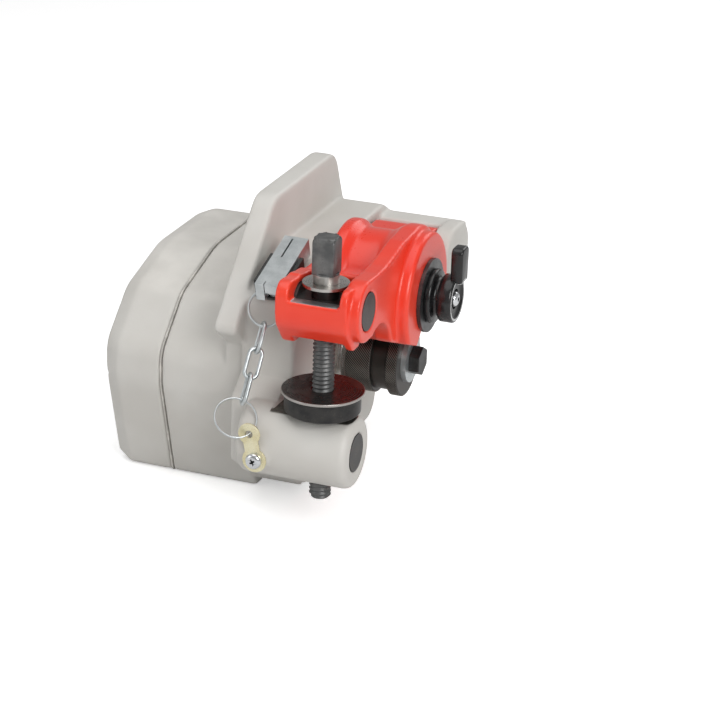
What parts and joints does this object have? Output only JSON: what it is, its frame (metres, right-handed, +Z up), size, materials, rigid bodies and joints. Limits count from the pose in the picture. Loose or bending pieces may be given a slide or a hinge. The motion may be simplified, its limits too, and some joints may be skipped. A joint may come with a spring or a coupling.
{
  "type": "pipe roll groover",
  "caption": "Pipe roll groover head: grey gear case, red hinged arm with groove roll, black feed screw, depth gauge on a chain.",
  "frame": {"origin": "the pipe stop: on the drive axis, in the plane where the end of the pipe meets the stop flange", "axes": "+X along the drive axis away from the gear case, +Y to the rear where the arm is hinged, +Z up"},
  "size_m": [0.23, 0.215, 0.18],
  "materials": {
    "cast_housing": "satin",
    "gasket": "matte",
    "black_steel": "satin",
    "ground_steel": "satin",
    "dark_steel": "satin",
    "rubber_seal": "matte",
    "knurled_steel": "satin",
    "zinc_plate": "satin",
    "bronze": "satin",
    "red_paint": "gloss",
    "black_knob": "gloss",
    "bright_steel": "gloss",
    "yellow_zinc": "satin"
  },
  "bodies": {
    "housing": {"main_housing": "cast_housing", "gear_cover": "cast_housing", "cover_gasket": "gasket", "cover_screws": "black_steel", "filler_plug": "black_steel", "front_bearing": "ground_steel", "rear_bearing": "ground_steel", "front_seal": "rubber_seal", "pinion_front_bearing": "ground_steel", "pinion_rear_bearing": "ground_steel", "input_seal": "rubber_seal", "pivot_shaft": "dark_steel", "pivot_set_screw": "black_steel", "gauge_clip": "black_steel", "clip_screws": "zinc_plate", "split_ring": "zinc_plate", "chain_bracket": "yellow_zinc", "bracket_screw": "zinc_plate"},
    "drive_line": {"drive_shaft": "ground_steel", "drive_gear": "dark_steel", "gear_key": "ground_steel", "gear_ring": "black_steel", "drive_roll": "knurled_steel", "roll_key": "ground_steel", "end_washer": "zinc_plate", "end_bolt": "black_steel"},
    "pinion": {"input_pinion": "dark_steel"},
    "arm": {"upper_arm": "red_paint", "pivot_bushes": "bronze", "side_washers": "bronze"},
    "groove_roll": {"groove_roll": "dark_steel", "groove_roll_bearing": "ground_steel"},
    "roll_shaft": {"roll_shaft": "ground_steel"},
    "knob": {"lever_knob": "black_knob", "knob_screw": "bright_steel"},
    "upper_trunnion": {"upper_trunnion": "dark_steel", "thrust_sleeve": "black_steel"},
    "lower_trunnion": {"lower_trunnion": "dark_steel"},
    "feed_screw": {"feed_screw": "black_steel", "thrust_washer": "zinc_plate", "lift_collar": "black_steel", "lift_pin": "ground_steel"},
    "depth_stop": {"stop_nut": "black_steel", "stop_plate": "black_steel"},
    "gauge": {"depth_gauge": "zinc_plate", "gauge_ring": "zinc_plate"},
    "chain": {"top_link": "zinc_plate", "middle_link": "zinc_plate", "bottom_link": "zinc_plate"}
  },
  "joints": [
    {"name": "drive_turn", "type": "hinge", "parent": "housing", "child": "drive_line", "pos_m": [0, 0, 0], "axis": [1, 0, 0], "continuous": true},
    {"name": "input_turn", "type": "hinge", "parent": "housing", "child": "pinion", "pos_m": [-0.08, 0.04985, -0.02324], "axis": [1, 0, 0], "continuous": true},
    {"name": "screw_turn", "type": "hinge", "parent": "upper_trunnion", "child": "feed_screw", "pos_m": [0.0153, -0.10196, 0.06698], "axis": [0, 0, 1], "range_deg": [0, 2820]},
    {"name": "arm_swing", "type": "hinge", "parent": "housing", "child": "arm", "pos_m": [0.0153, 0.04204, 0.05498], "axis": [-1, 0, 0], "range_deg": [0, 8.1]},
    {"name": "upper_swivel", "type": "hinge", "parent": "arm", "child": "upper_trunnion", "pos_m": [0.0153, -0.10196, 0.06698], "axis": [-1, 0, 0], "range_deg": [-6.6, 0]},
    {"name": "lower_swivel", "type": "hinge", "parent": "housing", "child": "lower_trunnion", "pos_m": [0.0153, -0.10196, -0.01952], "axis": [-1, 0, 0], "range_deg": [0, 1.9]},
    {"name": "groove_roll_turn", "type": "hinge", "parent": "arm", "child": "groove_roll", "pos_m": [0.017, -0.01756, 0.04958], "axis": [1, 0, 0], "continuous": true},
    {"name": "roll_shaft_pull", "type": "slide", "parent": "arm", "child": "roll_shaft", "axis": [1, 0, 0], "range_m": [0, 0.04]},
    {"name": "knob_turn", "type": "hinge", "parent": "roll_shaft", "child": "knob", "pos_m": [0.06, -0.01756, 0.04958], "axis": [1, 0, 0], "range_deg": [0, 90]},
    {"name": "stop_setting", "type": "slide", "parent": "feed_screw", "child": "depth_stop", "axis": [0, 0, 1], "range_m": [0, 0.012]},
    {"name": "gauge_slide", "type": "slide", "parent": "housing", "child": "gauge", "axis": [0, -0.9537, -0.3007], "range_m": [0, 0.006]},
    {"name": "chain_swing", "type": "hinge", "parent": "housing", "child": "chain", "pos_m": [-0.02847, -0.11367, 0.00609], "axis": [1, 0, 0], "range_deg": [0, 9]}
  ],
  "couplings": [
    {"joint": "input_turn", "follows": "drive_turn", "ratio": -2.6667},
    {"joint": "arm_swing", "follows": "screw_turn", "ratio": 0.0028363},
    {"joint": "upper_swivel", "follows": "screw_turn", "ratio": -0.0022435},
    {"joint": "lower_swivel", "follows": "screw_turn", "ratio": 0.00059195},
    {"joint": "chain_swing", "follows": "gauge_slide", "rad_per_m": 22.5}
  ]
}
